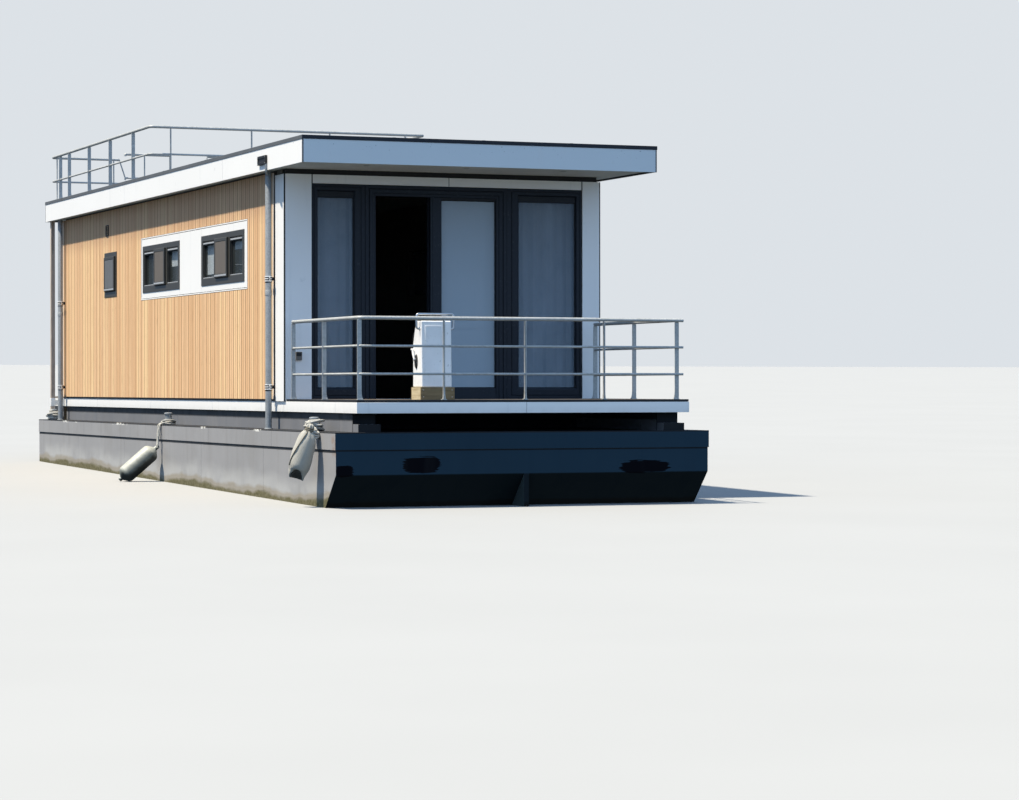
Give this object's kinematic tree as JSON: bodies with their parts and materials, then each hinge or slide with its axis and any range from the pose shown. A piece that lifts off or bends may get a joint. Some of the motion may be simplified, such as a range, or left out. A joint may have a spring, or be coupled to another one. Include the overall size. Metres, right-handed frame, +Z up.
{
  "type": "houseboat with steel pontoon hull",
  "caption": "Motor houseboat: flat raked steel pontoon, timber-clad house with glazed front and sliding door, railed bow terrace, roof terrace, helm console, outboard.",
  "frame": {"origin": "middle of the hull's flat bottom, half way between bow and stern plates", "axes": "+X to starboard across the boat, +Y aft from the bow terrace to the stern, +Z up"},
  "size_m": [5.0714, 15.56, 5.431],
  "materials": {
    "hull_paint": "satin grey marine paint, weathered",
    "coaming_paint": "satin dark grey paint",
    "white_panel": "smooth white facing board",
    "cladding": "narrow vertical boards, oiled tan",
    "anthracite_frame": "fine textured anthracite",
    "glass": "clear double glazing",
    "roofing": "grey edge trim and roofing sheet",
    "galvanised": "hot dip galvanised",
    "dark_timber": "weathered brown timber",
    "decking": "weathered grey brown deck boards",
    "console_gelcoat": "white gelcoat",
    "fender_rubber": "dull grey green vinyl",
    "fender_canvas": "cream canvas cover",
    "curtain": "thin grey voile",
    "black_plastic": "satin black",
    "motor_paint": "gloss charcoal",
    "propeller_metal": "worn painted aluminium"
  },
  "bodies": {
    "boat": {"hull": "hull_paint", "coaming_left": "coaming_paint", "coaming_right": "coaming_paint", "floor": "dark_timber", "deck_band": "white_panel", "terrace_decking": "decking", "stern_porch": "dark_timber", "wall_left": "cladding", "wall_right": "cladding", "wall_rear": "cladding", "window_panel_left": "white_panel", "window_panel_right": "white_panel", "front_surround": "white_panel", "side_light_left": "anthracite_frame", "side_light_right": "anthracite_frame", "side_glass_left": "glass", "side_glass_right": "glass", "door_frame": "anthracite_frame", "door_fixed_glass": "glass", "curtain_left": "curtain", "curtain_door": "curtain", "curtain_right": "curtain", "roof": "roofing", "fascia": "white_panel", "roof_railing": "galvanised", "roof_ladder": "galvanised", "terrace_railing": "galvanised", "downpipe_front": "galvanised", "downpipe_rear": "galvanised", "console_plinth": "dark_timber", "console_body": "console_gelcoat", "fender_middle": "fender_rubber", "fender_bow": "fender_canvas", "outboard_bracket": "coaming_paint", "window_left_front": "anthracite_frame", "window_glass_left_front": "glass", "window_left_middle": "anthracite_frame", "window_glass_left_middle": "glass", "window_left_small": "anthracite_frame", "window_glass_left_small": "glass", "window_right_front": "anthracite_frame", "window_glass_right_front": "glass", "window_right_middle": "anthracite_frame", "window_glass_right_middle": "glass", "window_right_small": "anthracite_frame", "window_glass_right_small": "glass"},
    "sliding_door": {"door_leaf": "anthracite_frame", "door_leaf_glass": "glass"},
    "stern_door": {"rear_door": "anthracite_frame"},
    "helm_wheel": {"steering_wheel": "black_plastic"},
    "motor_swivel": {"outboard_swivel": "motor_paint"},
    "motor": {"outboard_motor": "motor_paint"},
    "screw": {"propeller": "propeller_metal"}
  },
  "joints": [
    {"name": "sliding_door_slide", "type": "slide", "parent": "boat", "child": "sliding_door", "axis": [-1, 0, 0], "range_m": [0, 0.681]},
    {"name": "stern_door_swing", "type": "hinge", "parent": "boat", "child": "stern_door", "pos_m": [1.3, 6.465, 2.7], "axis": [0, 0, 1], "range_deg": [0, 100]},
    {"name": "helm_wheel_turn", "type": "hinge", "parent": "boat", "child": "helm_wheel", "pos_m": [-0.94, -6.5823, 2.3468], "axis": [0, 0.9393, 0.3431], "range_deg": [-540, 540]},
    {"name": "motor_tilt", "type": "hinge", "parent": "boat", "child": "motor_swivel", "pos_m": [0, 7.855, 1.12], "axis": [1, 0, 0], "range_deg": [0, 60]},
    {"name": "motor_steer", "type": "hinge", "parent": "motor_swivel", "child": "motor", "pos_m": [0, 7.975, 1], "axis": [0, 0, 1], "range_deg": [-30, 30]},
    {"name": "propeller_spin", "type": "hinge", "parent": "motor", "child": "screw", "pos_m": [0, 8.2, 0.315], "axis": [0, 1, 0], "continuous": true}
  ],
  "couplings": [
    {"joint": "helm_wheel_turn", "follows": "motor_steer", "ratio": 18}
  ]
}
